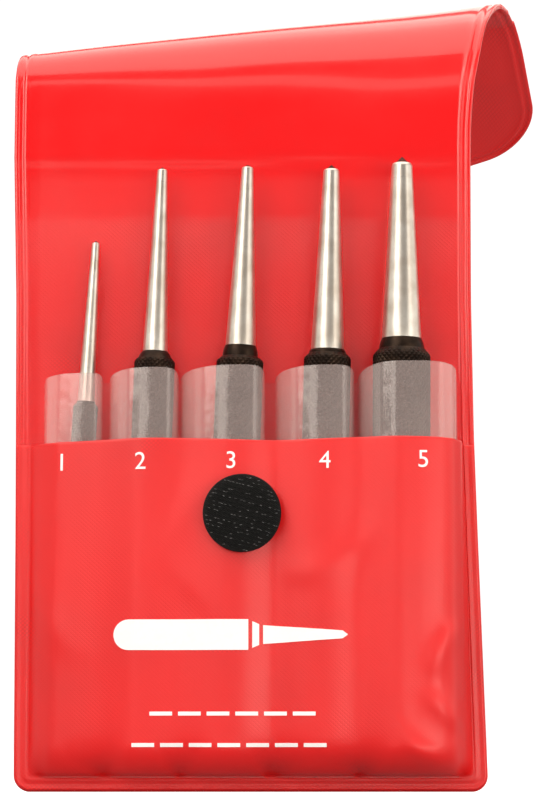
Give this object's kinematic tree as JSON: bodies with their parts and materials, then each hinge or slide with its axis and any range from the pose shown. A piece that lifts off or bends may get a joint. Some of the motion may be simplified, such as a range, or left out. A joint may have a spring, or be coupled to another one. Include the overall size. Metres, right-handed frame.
{
  "type": "center punch set",
  "caption": "Set of graded one-piece steel center punches standing in the welded pockets of a soft vinyl pouch with a fold-over flap.",
  "frame": {"origin": "middle of the pouch's flat back face, half way up its body", "axes": "+Z from the bottom weld up to the flap crease, +Y out of the back, front towards -Y"},
  "size_m": [0.1083, 0.0829, 0.1753],
  "materials": {
    "punch_steel": "black oxide diamond knurl and shank, ground bright taper",
    "red_vinyl": "soft semi-gloss embossed vinyl",
    "red_lining": "soft glossy vinyl",
    "clear_vinyl": "clear, slightly hazy vinyl",
    "hook_fabric": "black nylon hook tape",
    "loop_fabric": "black nylon loop tape"
  },
  "bodies": {
    "pouch": {"back_cover": "red_vinyl", "back_lining": "red_lining", "pocket_sheet": "clear_vinyl", "front_panel": "red_vinyl", "hook_disc": "hook_fabric"},
    "spine": {"spine_cover": "red_vinyl", "spine_lining": "red_lining"},
    "flap_root": {"flap_root_cover": "red_vinyl", "flap_root_lining": "red_lining"},
    "roll_1": {"roll_1_cover": "red_vinyl", "roll_1_lining": "red_lining"},
    "roll_2": {"roll_2_cover": "red_vinyl", "roll_2_lining": "red_lining"},
    "roll_3": {"roll_3_cover": "red_vinyl", "roll_3_lining": "red_lining"},
    "roll_4": {"roll_4_cover": "red_vinyl", "roll_4_lining": "red_lining"},
    "flap_tail": {"flap_tail_cover": "red_vinyl", "flap_tail_lining": "red_lining", "loop_disc": "loop_fabric"},
    "punch_1": {"punch_1": "punch_steel"},
    "punch_2": {"punch_2": "punch_steel"},
    "punch_3": {"punch_3": "punch_steel"},
    "punch_4": {"punch_4": "punch_steel"},
    "punch_5": {"punch_5": "punch_steel"}
  },
  "joints": [
    {"name": "crease_1", "type": "hinge", "parent": "pouch", "child": "spine", "pos_m": [0, -0.0005, 0.0668], "axis": [-1, 0, 0], "range_deg": [-94, 10], "stiffness_Nm_per_rad": 0.05},
    {"name": "crease_2", "type": "hinge", "parent": "spine", "child": "flap_root", "pos_m": [0, 0.00062, 0.08276], "axis": [-1, 0, 0], "range_deg": [-99, 10], "stiffness_Nm_per_rad": 0.05},
    {"name": "roll_line_1", "type": "hinge", "parent": "flap_root", "child": "roll_1", "pos_m": [0, 0.00264, 0.09153], "axis": [-0.994, -0.0247, -0.1069], "range_deg": [-23, 6], "stiffness_Nm_per_rad": 0.03},
    {"name": "roll_line_2", "type": "hinge", "parent": "roll_1", "child": "roll_2", "pos_m": [0.00005, 0.00592, 0.09607], "axis": [-0.9894, -0.0472, -0.1377], "range_deg": [-23, 6], "stiffness_Nm_per_rad": 0.03},
    {"name": "roll_line_3", "type": "hinge", "parent": "roll_2", "child": "roll_3", "pos_m": [0.00025, 0.01069, 0.09899], "axis": [-0.9843, -0.08, -0.157], "range_deg": [-23, 6], "stiffness_Nm_per_rad": 0.03},
    {"name": "roll_line_4", "type": "hinge", "parent": "roll_3", "child": "roll_4", "pos_m": [0.00072, 0.01621, 0.09986], "axis": [-0.9798, -0.1178, -0.1619], "range_deg": [-23, 6], "stiffness_Nm_per_rad": 0.03},
    {"name": "roll_line_5", "type": "hinge", "parent": "roll_4", "child": "flap_tail", "pos_m": [0.00156, 0.0216, 0.09859], "axis": [-0.9763, -0.1546, -0.1514], "range_deg": [-23, 6], "stiffness_Nm_per_rad": 0.03},
    {"name": "punch_1_draw", "type": "slide", "parent": "pouch", "child": "punch_1", "axis": [0.0529, 0, 0.9986], "range_m": [0, 0.085]},
    {"name": "punch_2_draw", "type": "slide", "parent": "pouch", "child": "punch_2", "axis": [0.0337, 0, 0.9994], "range_m": [0, 0.09]},
    {"name": "punch_3_draw", "type": "slide", "parent": "pouch", "child": "punch_3", "axis": [0.0375, 0, 0.9993], "range_m": [0, 0.09]},
    {"name": "punch_4_draw", "type": "slide", "parent": "pouch", "child": "punch_4", "axis": [0.0244, 0, 0.9997], "range_m": [0, 0.09]},
    {"name": "punch_5_draw", "type": "slide", "parent": "pouch", "child": "punch_5", "axis": [0.0091, 0, 1], "range_m": [0, 0.09]}
  ],
  "couplings": [
    {"joint": "roll_line_2", "follows": "roll_line_1", "ratio": 1},
    {"joint": "roll_line_3", "follows": "roll_line_1", "ratio": 1},
    {"joint": "roll_line_4", "follows": "roll_line_1", "ratio": 1},
    {"joint": "roll_line_5", "follows": "roll_line_1", "ratio": 1}
  ]
}
